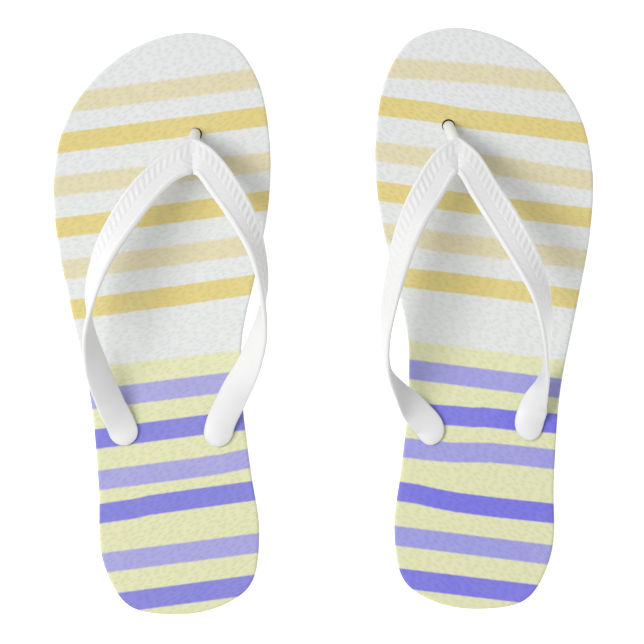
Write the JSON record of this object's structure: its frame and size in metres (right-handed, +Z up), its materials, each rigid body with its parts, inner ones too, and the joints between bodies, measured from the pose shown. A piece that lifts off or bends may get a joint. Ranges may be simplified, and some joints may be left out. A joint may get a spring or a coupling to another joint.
{
  "type": "pair of flip flops",
  "caption": "Thong sandals: laminated foam soles with a striped, pimpled footbed and a moulded V strap plugged through each sole, which flexes at the ball of the foot.",
  "frame": {"origin": "centre of the pair's bounding box, on the floor under the soles", "axes": "+X from the left shoe to the right shoe, +Y towards the toes, +Z up"},
  "size_m": [0.2508, 0.2726, 0.0612],
  "materials": {
    "footbed_print": "matte, finely grained, printed with cream, yellow, lavender and violet stripes",
    "midsole_foam": "matte closed-cell foam",
    "outsole_rubber": "matte, with a moulded tread",
    "strap_moulding": "satin moulded, soft"
  },
  "bodies": {
    "left_heel": {"left_footbed_heel": "footbed_print", "left_midsole_heel": "midsole_foam", "left_outsole_heel": "outsole_rubber", "left_strap_outer_arm": "strap_moulding", "left_strap_inner_arm": "strap_moulding", "left_outer_plug": "strap_moulding", "left_inner_plug": "strap_moulding"},
    "left_forefoot": {"left_footbed_forefoot": "footbed_print", "left_midsole_forefoot": "midsole_foam", "left_outsole_forefoot": "outsole_rubber", "left_strap_front": "strap_moulding"},
    "right_heel": {"right_footbed_heel": "footbed_print", "right_midsole_heel": "midsole_foam", "right_outsole_heel": "outsole_rubber", "right_strap_outer_arm": "strap_moulding", "right_strap_inner_arm": "strap_moulding", "right_outer_plug": "strap_moulding", "right_inner_plug": "strap_moulding"},
    "right_forefoot": {"right_footbed_forefoot": "footbed_print", "right_midsole_forefoot": "midsole_foam", "right_outsole_forefoot": "outsole_rubber", "right_strap_front": "strap_moulding"}
  },
  "joints": [
    {"name": "left_flex", "type": "hinge", "parent": "left_heel", "child": "left_forefoot", "pos_m": [-0.06823, 0.04774, 0.016], "axis": [0.9999, 0.0105, 0], "range_deg": [0, 45], "stiffness_Nm_per_rad": 0.4, "deforming": ["left_strap_outer_arm", "left_strap_inner_arm"]},
    {"name": "right_shoe_lift", "type": "slide", "parent": "left_heel", "child": "right_heel", "axis": [0, 0, 1], "range_m": [0, 0.12]},
    {"name": "right_flex", "type": "hinge", "parent": "right_heel", "child": "right_forefoot", "pos_m": [0.06857, 0.05024, 0.016], "axis": [0.9999, 0.0105, 0], "range_deg": [0, 45], "stiffness_Nm_per_rad": 0.4, "deforming": ["right_strap_outer_arm", "right_strap_inner_arm"]}
  ]
}
